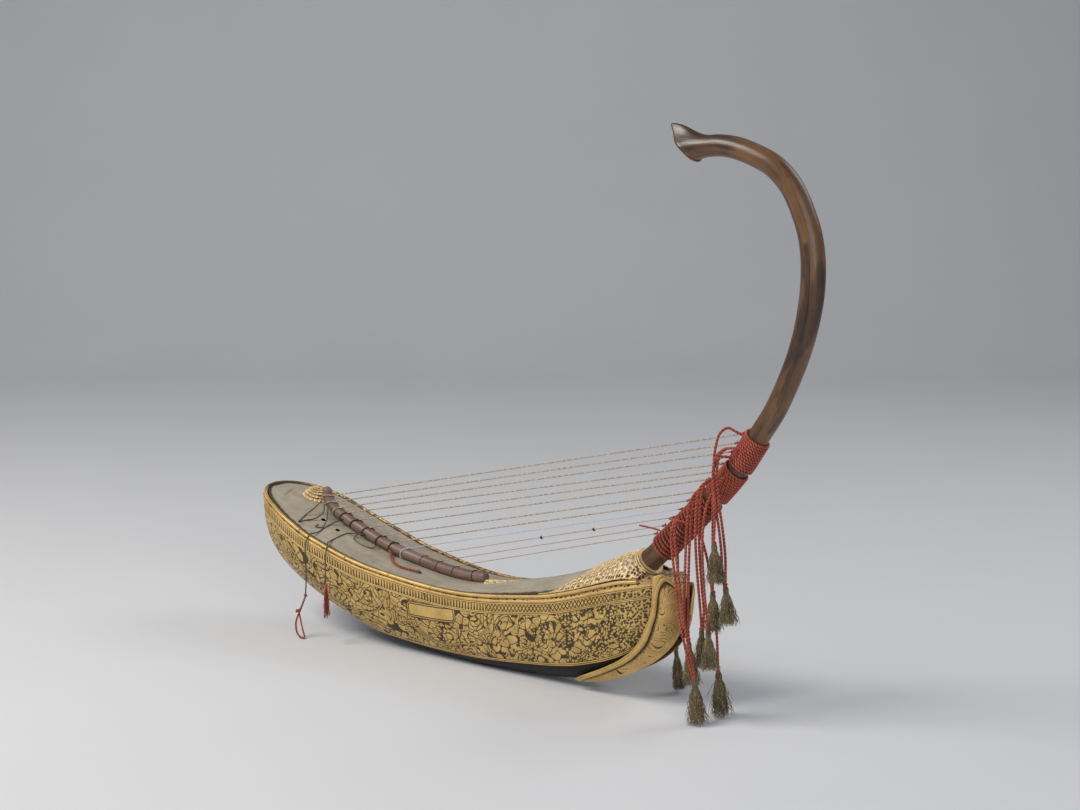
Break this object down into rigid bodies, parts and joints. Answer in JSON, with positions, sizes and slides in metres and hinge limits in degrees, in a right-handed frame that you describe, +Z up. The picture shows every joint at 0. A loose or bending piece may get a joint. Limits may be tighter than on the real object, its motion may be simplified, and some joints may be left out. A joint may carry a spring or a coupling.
{
  "type": "burmese arched harp",
  "caption": "Arched harp with a boat-shaped gilt body, skin table, curved wooden neck, plucked strings and red tuning cords ending in tassels.",
  "frame": {"origin": "middle of the instrument's length and width, on the ground under the keel", "axes": "+X from the tail towards the neck, +Y to the far side, +Z up"},
  "size_m": [0.9948, 0.1735, 0.7909],
  "materials": {
    "gilt_lacquer": "gilt and black lacquer over carved wood",
    "deerskin": "matt stretched deerskin, grey-beige",
    "bar_wood": "polished dark brown wood",
    "root_wood": "polished brown root wood with dark streaks",
    "gut_string": "twisted gut or silk, satin",
    "red_cord": "twisted red cotton cord",
    "dark_cord": "thin dark twisted cord",
    "tassel_thread": "dark olive threads with gold flecks"
  },
  "bodies": {
    "root": {"bar_end_relief": "gilt_lacquer", "hanging_cord_1": "red_cord", "hanging_cord_2": "red_cord", "hanging_cord_3": "red_cord", "hanging_cord_4": "red_cord", "hanging_cord_5": "red_cord", "hanging_cord_6": "red_cord", "hanging_cord_7": "red_cord", "hanging_cord_8": "red_cord", "hanging_cord_9": "red_cord", "hull": "gilt_lacquer", "loose_red_cord": "red_cord", "neck": "root_wood", "neck_collar": "gilt_lacquer", "red_tail_tassel": "red_cord", "rim_bead": "gilt_lacquer", "shoulder_relief": "gilt_lacquer", "soundboard_skin": "deerskin", "spare_tie": "dark_cord", "stem_leaf_far": "gilt_lacquer", "stem_leaf_near": "gilt_lacquer", "string_01": "gut_string", "string_02": "gut_string", "string_03": "gut_string", "string_04": "gut_string", "string_05": "gut_string", "string_06": "gut_string", "string_07": "gut_string", "string_08": "gut_string", "string_09": "gut_string", "string_10": "gut_string", "string_11": "gut_string", "string_12": "gut_string", "string_bar": "bar_wood", "tail_cord_long": "dark_cord", "tail_cord_red": "red_cord", "tail_cord_short": "dark_cord", "tail_cord_tie": "dark_cord", "tail_rosette": "gilt_lacquer", "tassel_1": "tassel_thread", "tassel_2": "tassel_thread", "tassel_3": "tassel_thread", "tassel_4": "tassel_thread", "tassel_5": "tassel_thread", "tassel_6": "tassel_thread", "tassel_7": "tassel_thread", "tassel_8": "tassel_thread", "tassel_9": "tassel_thread"},
    "tuning_01": {"tuning_cord_01": "red_cord"},
    "tuning_02": {"tuning_cord_02": "red_cord"},
    "tuning_03": {"tuning_cord_03": "red_cord"},
    "tuning_04": {"tuning_cord_04": "red_cord"},
    "tuning_05": {"tuning_cord_05": "red_cord"},
    "tuning_06": {"tuning_cord_06": "red_cord"},
    "tuning_07": {"tuning_cord_07": "red_cord"},
    "tuning_08": {"tuning_cord_08": "red_cord"},
    "tuning_09": {"tuning_cord_09": "red_cord"},
    "tuning_10": {"tuning_cord_10": "red_cord"},
    "tuning_11": {"tuning_cord_11": "red_cord"},
    "tuning_12": {"tuning_cord_12": "red_cord"}
  },
  "joints": [
    {"name": "tune_01", "type": "hinge", "parent": "root", "child": "tuning_01", "pos_m": [0.26418, 0, 0.22676], "axis": [0.7095, 0, 0.7047], "range_deg": [-20, 20]},
    {"name": "tune_02", "type": "hinge", "parent": "root", "child": "tuning_02", "pos_m": [0.27761, 0, 0.2402], "axis": [0.7043, 0, 0.7099], "range_deg": [-20, 20]},
    {"name": "tune_03", "type": "hinge", "parent": "root", "child": "tuning_03", "pos_m": [0.29094, 0, 0.25374], "axis": [0.6978, 0, 0.7163], "range_deg": [-20, 20]},
    {"name": "tune_04", "type": "hinge", "parent": "root", "child": "tuning_04", "pos_m": [0.30414, 0, 0.26741], "axis": [0.6908, 0, 0.7231], "range_deg": [-20, 20]},
    {"name": "tune_05", "type": "hinge", "parent": "root", "child": "tuning_05", "pos_m": [0.31718, 0, 0.28123], "axis": [0.6838, 0, 0.7297], "range_deg": [-20, 20]},
    {"name": "tune_06", "type": "hinge", "parent": "root", "child": "tuning_06", "pos_m": [0.33016, 0, 0.2951], "axis": [0.6817, 0, 0.7316], "range_deg": [-20, 20]},
    {"name": "tune_07", "type": "hinge", "parent": "root", "child": "tuning_07", "pos_m": [0.34846, 0, 0.31502], "axis": [0.6679, 0, 0.7442], "range_deg": [-20, 20]},
    {"name": "tune_08", "type": "hinge", "parent": "root", "child": "tuning_08", "pos_m": [0.35912, 0, 0.32709], "axis": [0.6513, 0, 0.7588], "range_deg": [-20, 20]},
    {"name": "tune_09", "type": "hinge", "parent": "root", "child": "tuning_09", "pos_m": [0.36947, 0, 0.33941], "axis": [0.6324, 0, 0.7746], "range_deg": [-20, 20]},
    {"name": "tune_10", "type": "hinge", "parent": "root", "child": "tuning_10", "pos_m": [0.38395, 0, 0.35867], "axis": [0.5744, 0, 0.8186], "range_deg": [-20, 20]},
    {"name": "tune_11", "type": "hinge", "parent": "root", "child": "tuning_11", "pos_m": [0.3929, 0, 0.37206], "axis": [0.5449, 0, 0.8385], "range_deg": [-20, 20]},
    {"name": "tune_12", "type": "hinge", "parent": "root", "child": "tuning_12", "pos_m": [0.40155, 0, 0.38563], "axis": [0.5375, 0, 0.8432], "range_deg": [-20, 20]}
  ]
}
